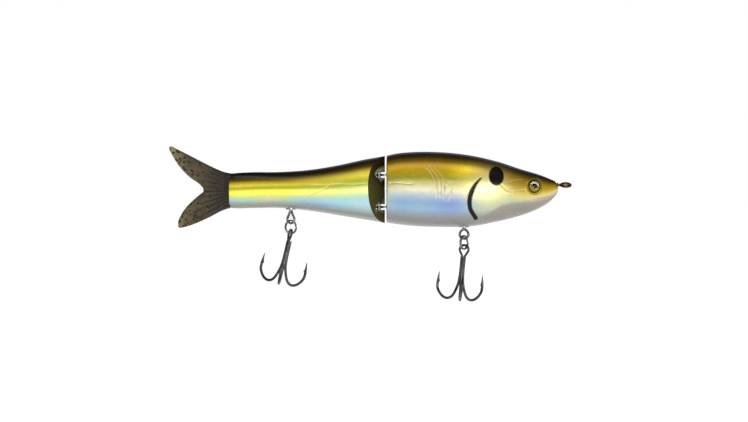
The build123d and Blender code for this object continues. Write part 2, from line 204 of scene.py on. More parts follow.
# the painted flank: stops run from belly (0) to back (1); they are colours of the lit flank, so the brightest
# yellow and cream bands carry painted highlights and the grey belly carries painted shade
headPaintAndLight = {
    # joint end of the head, then nose end
    "stopsBack": [
        (0.00, (150, 148, 147)), (0.07, (126, 125, 123)), (0.16, (136, 137, 140)),
        (0.24, (140, 148, 184)), (0.32, (126, 134, 176)),
        (0.40, (166, 168, 172)), (0.48, (186, 182, 154)), (0.56, (162, 156, 98)),
        (0.64, (146, 140, 40)), (0.72, (184, 154, 20)),
        (0.80, (186, 144, 8)), (0.86, (122, 92, 10)), (0.91, (62, 46, 14)),
        (0.95, (24, 19, 9)), (1.00, (8, 7, 5)),
    ],
    "stopsFront": [
        (0.00, (158, 152, 149)), (0.07, (132, 128, 124)), (0.16, (134, 129, 122)),
        (0.24, (160, 154, 136)), (0.32, (186, 172, 138)),
        (0.40, (214, 192, 96)), (0.48, (196, 176, 66)), (0.56, (176, 150, 40)),
        (0.64, (172, 140, 26)), (0.72, (156, 122, 12)),
        (0.80, (116, 90, 6)), (0.86, (72, 55, 8)), (0.91, (36, 28, 8)),
        (0.95, (20, 15, 8)), (1.00, (8, 6, 5)),
    ],
    "prismBand": (0.12, 0.24, 0.36, 0.46),
    "prismAmount": 0.34,
}
rearPaintAndLight = {
    "stopsBack": [
        (0.00, (166, 163, 159)), (0.06, (136, 133, 129)), (0.16, (130, 142, 134)),
        (0.24, (166, 188, 166)), (0.32, (206, 210, 112)),
        (0.40, (244, 238, 88)), (0.48, (246, 244, 92)), (0.56, (170, 166, 24)),
        (0.64, (228, 214, 70)), (0.71, (190, 164, 38)),
        (0.78, (96, 76, 8)), (0.85, (50, 38, 10)), (0.90, (26, 22, 12)),
        (0.95, (14, 12, 9)), (1.00, (8, 7, 6)),
    ],
    "stopsFront": [
        (0.00, (156, 152, 148)), (0.07, (128, 128, 121)), (0.16, (140, 166, 184)),
        (0.24, (150, 196, 234)), (0.32, (154, 202, 216)),
        (0.40, (190, 213, 160)), (0.48, (244, 252, 152)), (0.56, (172, 190, 92)),
        (0.64, (186, 182, 54)), (0.72, (242, 228, 74)),
        (0.80, (166, 140, 22)), (0.86, (86, 64, 9)), (0.91, (38, 29, 12)),
        (0.95, (18, 14, 9)), (1.00, (8, 7, 6)),
    ],
    "prismBand": (0.08, 0.18, 0.30, 0.40),
    "prismAmount": 0.25,
}
prismStops = [
    (0.30, (118, 128, 214)), (0.40, (120, 182, 226)), (0.48, (150, 214, 204)), (0.56, (196, 220, 140)),
    (0.64, (232, 214, 170)), (0.72, (214, 178, 206)),
]


clearCoat = dict(Metallic=0.2, Coat_Weight=0.28, Coat_Roughness=0.05, Coat_IOR=1.28, Specular_IOR_Level=0.18)


def paintedShell(name, paintAndLight):
    mat, tree, shader = newMaterial(name, **clearCoat)
    height = attribute(tree, "paintHeight")
    drift = rampValue(tree, noiseAt(tree, 34, 2, stretch=(0.5, 1, 1)), 0.3, 0.7, -0.022, 0.022)
    level = mathNode(tree, "ADD", height, drift)
    ends = [colorRamp(tree, level, tintStops(paintAndLight[key])) for key in ("stopsFront", "stopsBack")]
    base = mixColor(tree, rampValue(tree, attribute(tree, "paintAlong"), 0.15, 0.62), *ends)
    # foil under the clear coat: long soft patches of shifting colour
    foilNoise = noiseAt(tree, 30, 1.5, stretch=(1.0, 1.0, 1.6))
    foil = colorRamp(tree, foilNoise, tintStops(prismStops))
    a, b, c, d = paintAndLight["prismBand"]
    inBand = mathNode(tree, "MULTIPLY", rampValue(tree, level, a, b), rampValue(tree, level, d, c))
    inBand = mathNode(tree, "MULTIPLY", inBand, paintAndLight["prismAmount"], clamp=True)
    color = mixColor(tree, inBand, base, foil)
    color = mixColor(tree, attribute(tree, "goldPatch"), color, tint(252, 222, 30))
    # painted highlight: a near-white oval on the cheek behind the gill slash
    color = mixColor(tree, attribute(tree, "cheekHighlight"), color, tint(255, 250, 180))
    # lower jaw: grey pearl paint below the jaw line, kept darker as painted shade, with painted sheen in soft
    # patches
    sheen = noiseAt(tree, 60, 2, stretch=(0.6, 1, 1.6))
    pearlShade = mixColor(tree, sheen, tint(118, 113, 109), tint(160, 152, 142))
    color = mixColor(tree, attribute(tree, "jawPearlAndShade"), color, pearlShade)
    # fine flake in the foil
    flake = noiseAt(tree, 2600, 1)
    color = mixColor(tree, rampValue(tree, flake, 0.64, 0.82, 0.0, 0.03), color, tint(255, 250, 226))
    # painted highlight: the engraved lines drawn pale gold, as strong as each line's shine
    color = mixColor(tree, attribute(tree, "engravedShine"), color, tint(226, 214, 150))
    color = mixColor(tree, attribute(tree, "blackPaint"), color, tint(14, 10, 9))
    bare = attribute(tree, "bareFace")
    olive = mixColor(tree, rampValue(tree, level, 0.55, 0.95), tint(76, 71, 36), tint(44, 32, 12))
    color = mixColor(tree, bare, color, olive)
    color = mixColor(tree, edgeWear(tree, 0.56, 0.66, 0.45), color, tint(188, 182, 150))
    tree.links.new(color, shader.inputs["Base Color"])
    # foil glints on the flank, hardly on the dark back or the bare front face
    glint = rampValue(tree, level, 0.80, 0.92, 0.24, 0.02)
    metal = mathNode(tree, "MULTIPLY", glint, rampValue(tree, bare, 0, 1, 1, 0.1))
    tree.links.new(metal, shader.inputs["Metallic"])
    polish = rampValue(tree, noiseAt(tree, 420, 2), 0.3, 0.7, 0.20, 0.30)
    rough = mathNode(tree, "ADD", polish, rampValue(tree, bare, 0, 1, 0, 0.14))
    tree.links.new(rough, shader.inputs["Roughness"])
    bumpFrom(tree, shader, noiseAt(tree, 190, 2), 0.00006, 0.35)
    return mat


headMaterial = paintedShell("headFoilPaint", headPaintAndLight)
rearMaterial = paintedShell("rearFoilPaint", rearPaintAndLight)
print("materials ready")

# mesh helpers


def linkedObject(name, data):
    obj = bpy.data.objects.new(name, data)
    bpy.context.scene.collection.objects.link(obj)
    return obj


def smoothUpTo(bm, degrees):
    # smooth shading, broken at the edges that turn more than this
    for face in bm.faces:
        face.smooth = True
    for edge in bm.edges:
        edge.smooth = not (len(edge.link_faces) == 2 and edge.calc_face_angle(0) > math.radians(degrees))


def makeObject(name, verts, faces, material, smoothAngle):
    mesh = bpy.data.meshes.new(name)
    mesh.from_pydata([tuple(v) for v in verts], [], faces)
    mesh.validate()
    mesh.update()
    mesh.materials.append(material)
    bm = bmesh.new()
    bm.from_mesh(mesh)
    bmesh.ops.remove_doubles(bm, verts=bm.verts, dist=1e-7)
    bmesh.ops.recalc_face_normals(bm, faces=bm.faces)
    smoothUpTo(bm, smoothAngle)
    bm.to_mesh(mesh)
    bm.free()
    return linkedObject(name, mesh)


def smoothPath(points, perSpan=14):
    # Catmull-Rom through the given points
    pts = [Vector(p) for p in points]
    ends = [2 * pts[0] - pts[1]] + pts + [2 * pts[-1] - pts[-2]]
    path = []
    for i in range(1, len(ends) - 2):
        p0, p1, p2, p3 = ends[i - 1:i + 3]
        for k in range(perSpan):
            t = k / perSpan
            linear = (p2 - p0) * t
            square = (2 * p0 - 5 * p1 + 4 * p2 - p3) * t * t
            cube = (3 * p1 - p0 - 3 * p2 + p3) * t ** 3
            path.append(0.5 * ((2 * p1) + linear + square + cube))
    return path + [pts[-1]]


def ringFaces(rings, around, closed=False):
    # quads between rings of points that follow each other, with flat ends unless the last meets the first
    faces = []
    for i in range(rings if closed else rings - 1):
        here, ahead = i * around, (i + 1) % rings * around
        for k in range(around):
            after = (k + 1) % around
            faces.append((here + k, here + after, ahead + after, ahead + k))
    if not closed:
        faces.append(tuple(range(around))[::-1])
        faces.append(tuple((rings - 1) * around + k for k in range(around)))
    return faces


def tubeMesh(path, radius, sides=18, closed=False):
    # radius is a number or a function of the share of the length
    verts = []
    count = len(path)
    lengths = [0.0]
    for a, b in zip(path, path[1:]):
        lengths.append(lengths[-1] + (b - a).length)
    side = None
    for i, p in enumerate(path):
        ahead = path[(i + 1) % count] if closed else path[min(i + 1, count - 1)]
        behind = path[i - 1] if closed else path[max(i - 1, 0)]
        heading = (ahead - behind).normalized()
        if side is None:
            side = heading.orthogonal().normalized()
        side = (side - heading * side.dot(heading)).normalized()
        up = heading.cross(side)
        r = radius(lengths[i] / lengths[-1]) if callable(radius) else radius
        for k in range(sides):
            turn = 2 * math.pi * k / sides
            verts.append(p + side * math.cos(turn) * r + up * math.sin(turn) * r)
    return verts, ringFaces(count, sides, closed)


def joinTubes(*tubes):
    verts, faces = [], []
    for tubeVerts, tubeFaces in tubes:
        base = len(verts)
        verts += tubeVerts
        faces += [tuple(i + base for i in face) for face in tubeFaces]
    return verts, faces


def beadRing(radius, wire, steps, sides):
    # small round ring in mm, lying flat
    turns = [2 * math.pi * 1.0 * k / steps for k in range(steps)]
    path = [Vector((radius * math.cos(turn), radius * math.sin(turn), 0.0)) * mm for turn in turns]
    return tubeMesh(path, wire * mm, sides, closed=True)


def lathe(profile, sides=72):
    # profile of (radius, height) turned round Z and capped at both ends
    verts = []
    for r, z in profile:
        for k in range(sides):
            turn = 2 * math.pi * k / sides
            verts.append(Vector((r * math.cos(turn), r * math.sin(turn), z)))
    return verts, ringFaces(len(profile), sides)


def placed(verts, matrix):
    return [matrix @ Vector(v) for v in verts]


def turnedBy(degrees, axis):
    return Matrix.Rotation(math.radians(degrees), 4, axis)


def finishPiece(obj, body, slotName, *nodes):
    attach(obj, body)
    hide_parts(*nodes)
    return obj


# the hard body, x and z in mm from the line tie

bodyShape = {
    "height": 32.4,
    "fullness": 2.25,  # 2 gives an oval section, more gives squarer flanks
    "widestShare": 0.54,  # height of the widest line above the belly, as a share
    "seamDepth": 0.10,
    "seamWidth": 0.22,
    "edgeRound": 0.7,
    "bevelAngle": 38.0,
    "creaseAngle": 32.0,
    "headColumns": 330,
    "rearColumns": 300,
    "aroundSteps": 132,
}
# share of the section's length, then back and belly as shares of the body's height and the
# half width as a share of the widest
headRows = [
    (0.000, -0.051, -0.053, 0.00), (0.006, 0.010, -0.108, 0.15), (0.014, 0.040, -0.137, 0.24),
    (0.047, 0.080, -0.219, 0.38), (0.116, 0.142, -0.318, 0.56), (0.222, 0.214, -0.412, 0.74),
    (0.361, 0.317, -0.491, 0.90), (0.524, 0.398, -0.556, 0.98), (0.700, 0.438, -0.559, 1.00),
    (0.850, 0.438, -0.546, 0.985), (0.945, 0.417, -0.522, 0.96), (1.000, 0.390, -0.503, 0.93),
]
rearRows = [
    (0.000, 0.386, -0.506, 0.93), (0.145, 0.333, -0.457, 0.87), (0.295, 0.265, -0.407, 0.76),
    (0.475, 0.204, -0.346, 0.63), (0.685, 0.173, -0.306, 0.47), (0.865, 0.170, -0.309, 0.34),
    (0.965, 0.158, -0.311, 0.28), (1.000, 0.150, -0.305, 0.24),
]


def hermite(xs, ys, x):
    # smooth curve through the rows, with its slopes taken from their neighbours
    xs, ys = np.array(xs, float), np.array(ys, float)
    slope = np.gradient(ys, xs)
    i = np.clip(np.searchsorted(xs, x) - 1, 0, len(xs) - 2)
    h = xs[i + 1] - xs[i]
    t = (x - xs[i]) / h
    behind = (1 + 2 * t) * (1 - t) ** 2 * ys[i] + t * (1 - t) ** 2 * h * slope[i]
    return behind + t * t * (3 - 2 * t) * ys[i + 1] + t * t * (t - 1) * h * slope[i + 1]


headLow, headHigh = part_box("head_shell_left")
rearLow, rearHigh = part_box("rear_shell_left")
headSpan = (headHigh.x / mm, headLow.x / mm)
rearSpan = (rearHigh.x / mm, rearLow.x / mm)
halfWide = headHigh.y / mm * 0.995


def sectionSizes(rows, span, x, nose):
    share = (span[0] - x) / (span[0] - span[1])
    keys = np.array([row[0] for row in rows])
    at = np.clip(share, 0, 1)
    if nose:
        # the root of the distance rounds the nose
        keys, at = np.sqrt(keys), np.sqrt(at)
    top = hermite(keys, [row[1] * bodyShape["height"] for row in rows], at)
    bottom = hermite(keys, [row[2] * bodyShape["height"] for row in rows], at)
    wide = hermite(keys, [row[3] * halfWide for row in rows], at)
    return top, bottom, np.maximum(wide, 0)


def ringPoints(top, bottom, wide, angles):
    power = 2 / bodyShape["fullness"]
    middle = bottom + bodyShape["widestShare"] * (top - bottom)
    up, out = np.sin(angles), np.cos(angles)
    reach = np.where(up > 0, top - middle, middle - bottom)
    y = wide * np.abs(out) ** power
    z = middle + np.sign(up) * np.abs(up) ** power * reach
    y[0] = y[-1] = 0
    return y, z


def pathDistance(x, z, path):
    # distance from each point to a drawn line, and the share along it
    best = np.full(x.shape, 1e9)
    along = np.zeros(x.shape)
    total = len(path) - 1
    for i, ((ax, az), (bx, bz)) in enumerate(zip(path, path[1:])):
        dx, dz = bx - ax, bz - az
        t = np.clip(((x - ax) * dx + (z - az) * dz) / (dx * dx + dz * dz), 0, 1)
        d = np.hypot(x - ax - t * dx, z - az - t * dz)
        closer = d < best
        best = np.where(closer, d, best)
        along = np.where(closer, (i + t) / total, along)
    return best, along


def drawnLine(points):
    return [(p.x, p.y) for p in smoothPath([(x, z, 0) for x, z in points], 8)]


# x and z in mm from the line tie; depth and width in mm; shine is how strongly the line is painted as a
# highlight
engravings = [
    dict(line=[(-77.0, 0.6), (-72.0, 0.8), (-68.0, 0.6), (-65.0, 0.8)], depth=0.14, width=0.24, shine=0.75),
    dict(line=[(-61.4, 8.6), (-58.5, 4.9), (-56.2, -1.0), (-56.2, -6.0)], depth=0.16, width=0.26, shine=0.45),
    dict(line=[(-59.5, 8.6), (-56.4, 4.3), (-54.5, -0.5), (-54.8, -6.2)], depth=0.16, width=0.26, shine=0.45),
    dict(line=[(-57.2, 8.2), (-54.0, 3.6), (-52.6, -1.2), (-53.4, -6.8)], depth=0.14, width=0.24, shine=0.35),
    dict(line=[(-52.9, 0.5), (-50.2, -1.4), (-50.0, -4.4), (-51.8, -7.4)], depth=0.14, width=0.24, shine=0.4),
    dict(line=[(-29.1, 0.5), (-25.1, -2.6), (-20.4, -2.4), (-17.6, -1.7)], depth=0.16, width=0.26, shine=0.55),
    dict(line=[(-26.2, 0.5), (-22.9, 1.9), (-18.6, 2.3)], depth=0.12, width=0.24, shine=0.30),
    dict(line=[(-5.6, -4.6), (-9.0, -5.0), (-13.0, -5.9), (-17.5, -7.6)], depth=0.26, width=0.34, shine=0.0),
    dict(
        line=[(-84.5, 0.6), (-92.0, 0.1), (-97.2, 0.4), (-104.0, -0.1), (-111.2, 0.1)],
        depth=0.14, width=0.24, shine=0.55,
    ),
    dict(line=[(-113.5, -6.0), (-107.0, -3.2), (-100.5, 0.1)], depth=0.12, width=0.24, shine=0.45),
]
gillSlash = dict(
    line=[(-37.0, 3.0), (-39.9, -0.5), (-41.8, -5.4), (-41.6, -10.2), (-39.2, -14.2)],
    depth=0.6, width=0.90, paintEdge=0.16,
)
gillPlate = dict(back=-42.5, backRise=7.0, front=-26.0, frontRise=9.0, low=-16.0, high=5.0, proud=0.16)
shoulderSpot = dict(center=(-30.5, 3.7), radii=(3.45, 4.35), edge=0.10)
jawLine = dict(
    line=[(-44.0, -15.5), (-35.6, -12.6), (-28.3, -8.0), (-22.6, -6.9), (-15.4, -6.3), (-4.0, -4.4)],
    soft=1.5, amount=0.85, back=-41.0, backFade=5.0,
)
backPatch = dict(center=(-43.5, 5.6), radii=(6.0, 2.6), amount=0.75)
# painted highlight on the cheek: where the oval sits and how strong it is
cheekHighlight = dict(center=(-35.0, -1.8), radii=(7.5, 5.8), amount=0.95)
eyeBasin = dict(radius=3.35, depth=0.55, wall=0.35, ring=3.75, ringHeight=0.28, ringWidth=0.32, outset=1.6)


def eyePlace(side):
    # seat of the eye: middle of the CAD disc, facing out square to the cheek
    low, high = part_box("eye_disc_left" if side > 0 else "eye_disc_right")
    center = (low + high) / 2
    domeLow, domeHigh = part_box("eye_dome_left" if side > 0 else "eye_dome_right")
    outward = ((domeLow + domeHigh) / 2 - center).normalized()
    outward.z = 0
    return center, outward.normalized()


def slashReach(along):
    # pointed at the top, blunt at the bottom
    return gillSlash["width"] * np.clip(0.30 + along * 1.9, 0, 1)


def shellGrid(rows, span, nose):
    # rings of (x, y, z, share of the height) from front to back, and which of them are bare end face
    angles = np.linspace(math.pi / 2, -math.pi / 2, bodyShape["aroundSteps"] + 1)
    columns = bodyShape["headColumns"] if nose else bodyShape["rearColumns"]
    edge = bodyShape["edgeRound"]
    rings, flags = [], []
    share = np.linspace(0, 1, columns)
    length = span[0] - span[1] - edge
    xs = span[0] - length * (share ** 1.7 if nose else share)
    steep = math.tan(math.radians(bodyShape["bevelAngle"]))
    for k, x0 in enumerate(xs):
        x = np.full(angles.shape, x0)
        if not nose:
            # the front of the rear section is cut back by the bevel: each line starts where the skin meets it
            for _ in range(6):
                y, z = ringPoints(*sectionSizes(rows, span, x, False), angles)
                front = span[0] - y * steep
                x = front + (span[1] + edge - front) * share[k]
        top, bottom, wide = sectionSizes(rows, span, x, nose)
        y, z = ringPoints(top, bottom, wide, angles)
        rings.append((x, y, z, (z - bottom) / np.maximum(top - bottom, 1e-6)))
        flags.append(0.0)
    # rounded back edge, then the flat end drawn in to the middle
    top, bottom, wide = sectionSizes(rows, span, span[1] + edge, nose)
    middle = bottom + bodyShape["widestShare"] * (top - bottom)
    roundSteps = 6
    for k in range(1, roundSteps + 1):
        turn = k / roundSteps * math.pi / 2
        inset = edge * (1 - math.cos(turn))
        inner = [np.full(angles.shape, size) for size in (top - inset, bottom + inset, wide - inset)]
        y, z = ringPoints(*inner, angles)
        x = np.full(angles.shape, span[1] + edge * (1 - math.sin(turn)))
        rings.append((x, y, z, rings[columns - 1][3]))
        flags.append(0.0 if k < roundSteps - 1 else 1.0)
    last = rings[-1]
    for scale in (0.97, 0.85, 0.6, 0.3, 0.02):
        rings.append((last[0], last[1] * scale, middle + (last[2] - middle) * scale, last[3]))
        flags.append(1.0)
    if not nose:
        first = rings[0]
        firstMiddle = float(np.mean(first[2]))
        caps = []
        for scale in (0.985, 0.9, 0.75, 0.5, 0.25, 0.02):
            y = first[1] * scale
            caps.append((span[0] - y * steep, y, firstMiddle + (first[2] - firstMiddle) * scale, first[3]))
        rings = caps[::-1] + rings
        flags = [1.0] * len(caps) + flags
    return rings, flags


def softSpot(x, z, spot):
    # 1 in the middle of an oval, fading outward
    px, pz = spot["center"]
    wx, wz = spot["radii"]
    return np.exp(-((x - px) / wx) ** 2 - ((z - pz) / wz) ** 2)


def carve(x, y, z, side, nose):
    # depth below the plain skin in mm, and the paint masks, at each point; among them are the painted
    # highlight on the cheek and along the engraved lines, and the painted shade under the jaw
    depth = np.zeros(x.shape)
    shine = np.zeros(x.shape)
    for cut in engravings:
        far, along = pathDistance(x, z, drawnLine(cut["line"]))
        profile = np.exp(-(far / cut["width"]) ** 2)
        fade = np.clip(np.minimum(along, 1 - along) * 9, 0, 1)
        depth += cut["depth"] * profile * fade
        shine = np.maximum(shine, profile * fade * cut["shine"])
    black, paintedHighlight, jawShadeMask, gold = (np.zeros(x.shape) for _ in range(4))
    if nose:
        # below the jaw line: pearl paint that also carries the painted shade of the darker belly
        below = np.interp(x, *zip(*sorted(jawLine["line"]))) - z
        jawShadeMask = jawLine["amount"] * np.clip(below / jawLine["soft"], 0, 1)
        jawShadeMask = jawShadeMask * np.clip((x - jawLine["back"]) / jawLine["backFade"], 0, 1)
        gold = backPatch["amount"] * softSpot(x, z, backPatch)
        # painted highlight: a soft oval on the cheek behind the gill slash
        paintedHighlight = cheekHighlight["amount"] * softSpot(x, z, cheekHighlight)
        far, along = pathDistance(x, z, drawnLine(gillSlash["line"]))
        reach = slashReach(along)
        depth += gillSlash["depth"] * np.exp(-(far / (reach * 0.9)) ** 4)
        black = np.clip((reach * 1.12 - far) / gillSlash["paintEdge"], 0, 1)
        # the gill plate stands a little proud in front of the slash
        plate = np.clip((x - gillPlate["back"]) / gillPlate["backRise"], 0, 1)
        plate = plate * np.clip((gillPlate["front"] - x) / gillPlate["frontRise"], 0, 1)
        plate = plate * np.clip((z - gillPlate["low"]) / 3.0, 0, 1)
        plate = plate * np.clip((gillPlate["high"] - z) / 4.0, 0, 1)
        depth -= gillPlate["proud"] * plate
        cx, cz = shoulderSpot["center"]
        rx, rz = shoulderSpot["radii"]
        fromSpot = np.hypot((x - cx) / rx, (z - cz) / rz)
        black = np.maximum(black, np.clip((1 - fromSpot) / shoulderSpot["edge"], 0, 1))
        center, outward = eyePlace(side)
        r = np.hypot(x - center.x / mm - outward.x * eyeBasin["outset"], z - center.z / mm)
        depth += eyeBasin["depth"] * np.clip((eyeBasin["radius"] - r) / eyeBasin["wall"], 0, 1)
        depth -= eyeBasin["ringHeight"] * np.exp(-((r - eyeBasin["ring"]) / eyeBasin["ringWidth"]) ** 2)
    depth += bodyShape["seamDepth"] * np.exp(-(y / bodyShape["seamWidth"]) ** 2)
    return depth, shine, black, paintedHighlight, jawShadeMask, gold


def shellSkin(name, rows, span, side, nose, material):
    rings, flags = shellGrid(rows, span, nose)
    x, y, z, level = (np.array([ring[i] for ring in rings]) for i in range(4))
    points = np.stack([x, y, z], axis=2)
    du = np.gradient(points, axis=0)
    dv = np.gradient(points, axis=1)
    normal = np.cross(dv, du)
    normal /= np.maximum(np.linalg.norm(normal, axis=2, keepdims=True), 1e-9)
    outward = np.sign(np.sum(normal[:, normal.shape[1] // 2, 1])) or 1
    normal *= outward
    depth, shine, black, paintedHighlight, jawShadeMask, gold = carve(x, y, z, side, nose)
    skinRows = np.array(flags)[:, None] < 0.5
    depth = np.where(skinRows, depth, 0)
    # nothing is cut in the last stretch before an end
    near = np.minimum(np.abs(x - span[0]), np.abs(x - span[1])) if nose else x - span[1]
    depth *= np.clip(near / 0.6, 0, 1)
    points = points - normal * depth[..., None]
    points[..., 1] = np.maximum(points[..., 1], 0)
    points[..., 1] *= side
    verts = points.reshape(-1, 3) * mm
    columns = x.shape[1]
    faces = []
    for i in range(x.shape[0] - 1):
        for k in range(columns - 1):
            a = i * columns + k
            quad = (a, a + 1, a + columns + 1, a + columns)
            faces.append(quad if side > 0 else quad[::-1])
    mesh = bpy.data.meshes.new(name)
    mesh.from_pydata(verts.tolist(), [], faces)
    mesh.materials.append(material)
    masks = {
        "paintHeight": level,
        "paintAlong": (span[0] - x) / (span[0] - span[1]),
        "engravedShine": shine,
        "blackPaint": black,
        "cheekHighlight": paintedHighlight,
        "jawPearlAndShade": jawShadeMask,
        "goldPatch": gold,
        "bareFace": np.repeat(np.array(flags)[:, None], columns, axis=1),
    }
    for key, values in masks.items():
        layer = mesh.attributes.new(key, "FLOAT", "POINT")
        layer.data.foreach_set("value", np.ascontiguousarray(values, dtype=np.float32).ravel())
    bm = bmesh.new()
    bm.from_mesh(mesh)
    bmesh.ops.remove_doubles(bm, verts=bm.verts, dist=2e-6)
    bmesh.ops.dissolve_degenerate(bm, dist=1e-6, edges=bm.edges)
    # close the flat middle face, which the other half glues to
    rim = [e for e in bm.edges if len(e.link_faces) == 1]
    bmesh.ops.holes_fill(bm, edges=rim, sides=0)
    smoothUpTo(bm, bodyShape["creaseAngle"])
    bm.to_mesh(mesh)
    bm.free()
    return linkedObject(name, mesh)


hingeSlots = {"height": 2.4, "halfWidth": 4.9, "behindAxis": 2.5, "aheadOfFace": 2.0, "corner": 0.5}


def cutSlots(obj):
    # two slots in the bevelled front, where the wire eyes swing
    axisX = joints["body_hinge"]["pos_m"][0] / mm
    for node in ("hinge_eye_upper", "hinge_eye_lower"):
        low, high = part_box(node)
        z = (low.z + high.z) / 2
        back = axisX - hingeSlots["behindAxis"]
        front = rearSpan[0] + hingeSlots["aheadOfFace"]
        bm = bmesh.new()
        bmesh.ops.create_cube(bm, size=1)
        wide, tall = 2 * hingeSlots["halfWidth"], hingeSlots["height"]
        scale = Matrix.Diagonal(((front - back) * mm, wide * mm, tall * mm, 1))
        bm.transform(Matrix.Translation(((front + back) / 2 * mm, 0, z)) @ scale)
        bmesh.ops.bevel(bm, geom=bm.edges, offset=hingeSlots["corner"] * mm, segments=3, affect="EDGES")
        mesh = bpy.data.meshes.new("slotCutter")
        bm.to_mesh(mesh)
        bm.free()
        cutter = linkedObject("slotCutter", mesh)
        mod = obj.modifiers.new("slot", "BOOLEAN")
        mod.object = cutter
        mod.solver = "EXACT"
        bpy.context.view_layer.update()
        done = bpy.data.meshes.new_from_object(obj.evaluated_get(bpy.context.evaluated_depsgraph_get()))
        obj.modifiers.clear()
        obj.data = done
        bpy.data.objects.remove(cutter)
    return obj


for side, word in ((-1, "right"), (1, "left")):
    skin = shellSkin("headSkin_" + word, headRows, headSpan, side, True, headMaterial)
    finishPiece(skin, "head", "painted_shell", "head_shell_" + word)
    skin = cutSlots(shellSkin("rearSkin_" + word, rearRows, rearSpan, side, False, rearMaterial))
    finishPiece(skin, "rear_section", "painted_shell", "rear_shell_" + word)
print("body skins made")

# eyes

eyeLook = {
    "rim": 2.72,
    # black pupil, pale iris, black rim, by share of the radius
    "rings": [
        (0.00, (3, 3, 3)), (0.47, (4, 4, 4)), (0.50, (150, 146, 128)), (0.55, (250, 247, 230)),
        (0.74, (240, 236, 214)), (0.78, (110, 102, 76)), (0.81, (6, 5, 4)), (1.00, (4, 3, 3)),
    ],
    # (radius, height) in mm: dished iris round a domed pupil, inside a raised dark rim
    "disc": [
        (0.02, 0.72), (0.4, 0.70), (0.9, 0.62), (1.22, 0.46), (1.30, 0.38),
        (1.6, 0.40), (1.95, 0.46), (2.12, 0.56), (2.2, 0.72), (2.35, 0.86),
        (2.55, 0.88), (2.70, 0.76), (2.76, 0.5), (2.76, -0.34), (0.02, -0.34),
    ],
    # clear cap over the iris, hollow below
    "dome": [
        (0.02, 1.62), (0.5, 1.58), (1.0, 1.48), (1.5, 1.30), (1.9, 1.08), (2.15, 0.92),
        (2.22, 0.82), (2.16, 0.74), (1.9, 0.70), (1.4, 0.72), (0.7, 0.80), (0.02, 0.84),
    ],
}


def eyeMaterial():
    mat, tree, shader = newMaterial("eyePrint", Roughness=0.5, Specular_IOR_Level=0.1)
    ring = attribute(tree, "ringShare")
    color = colorRamp(tree, ring, tintStops(eyeLook["rings"]))
    speck = noiseAt(tree, 1500, 2)
    color = mixColor(tree, rampValue(tree, speck, 0.45, 0.7, 0, 0.25), color, tint(170, 164, 140), "MULTIPLY")
    color = mixColor(tree, edgeWear(tree, 0.54, 0.62, 0.3), color, tint(200, 196, 180))
    tree.links.new(color, shader.inputs["Base Color"])
    tree.links.new(rampValue(tree, ring, 0.48, 0.52, 0.0, 0.1), shader.inputs["Metallic"])
    tree.links.new(rampValue(tree, speck, 0.3, 0.7, 0.40, 0.58), shader.inputs["Roughness"])
    bumpFrom(tree, shader, speck, 0.00003, 0.4)
    return mat


def domeMaterial():
    mat, tree, shader = newMaterial("eyeClear", Transmission_Weight=1.0, IOR=1.22)
    haze = noiseAt(tree, 900, 2)
    tree.links.new(rampValue(tree, haze, 0.3, 0.7, 0.0, 0.03), shader.inputs["Roughness"])
    color = mixColor(tree, edgeWear(tree, 0.54, 0.62, 0.4), tint(252, 253, 252), tint(226, 226, 220))
    tree.links.new(color, shader.inputs["Base Color"])
    bumpFrom(tree, shader, haze, 0.00002, 0.2)
    return mat


eyePrint, eyeClear = eyeMaterial(), domeMaterial()
for side, word in ((-1, "right"), (1, "left")):
    center, outward = eyePlace(side)
    across = Vector((0, 0, 1)).cross(outward).normalized()
    turn = Matrix((across, Vector((0, 0, 1)), outward)).transposed().to_4x4()
    seat = Matrix.Translation(center) @ turn
    verts, faces = lathe([(r * mm, z * mm) for r, z in eyeLook["disc"]], 96)
    disc = makeObject("eyeDisc_" + word, placed(verts, seat), faces, eyePrint, 60)
    layer = disc.data.attributes.new("ringShare", "FLOAT", "POINT")
    inverse = seat.inverted()
    for v, value in zip(disc.data.vertices, layer.data):
        local = inverse @ v.co
        value.value = min(math.hypot(local.x, local.y) / mm / eyeLook["rim"], 1)
    finishPiece(disc, "head", "eye_print", "eye_disc_" + word)
    verts, faces = lathe([(r * mm, z * mm) for r, z in eyeLook["dome"]], 96)
    lens = makeObject("eyeDome_" + word, placed(verts, seat), faces, eyeClear, 60)
    finishPiece(lens, "head", "eye_clear", "eye_dome_" + word)
print("eyes made")

# wire parts

tieWire = {"loop": 2.0, "wire": 0.6, "shank": 11.6, "roll": 20.0, "collar": 0.72, "collarWire": 0.30}


def wireEye(loop, shank):
    # one bent wire: a straight shank that runs into an open-ended loop, which the cut end almost closes
    start = math.pi + 0.10
    sweep = 2 * math.pi - 0.42
    steps = 72
    turns = [start + sweep * k / steps for k in range(steps + 1)]
    loopPath = [Vector((loop * math.cos(turn), loop * math.sin(turn), 0)) for turn in turns]
    lead = smoothPath([(-loop - shank, 0, 0), (-loop - shank * 0.5, 0, 0), (-loop - 1.6, 0, 0)], 10)
    return lead + smoothPath([lead[-1], (-loop - 0.55, -0.06, 0), loopPath[2]], 6)[1:-1] + loopPath[2:]


path = [p * mm for p in wireEye(tieWire["loop"], tieWire["shank"])]
tube = tubeMesh(path, tieWire["wire"] * mm, 20)
# a small collar where the wire leaves the nose
collar = beadRing(tieWire["collar"], tieWire["collarWire"], 36, 12)
stand = Matrix.Translation((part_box("head_shell_left")[1].x - 0.25 * mm, 0, 0)) @ turnedBy(90, "Y")
verts, faces = joinTubes(tube, (placed(collar[0], stand), collar[1]))
verts = placed(verts, turnedBy(tieWire["roll"], "X"))
tie = makeObject("lineTieWire", verts, faces, metals["tieBronze"], 50)
finishPiece(tie, "head", "steel_wire", "line_tie")

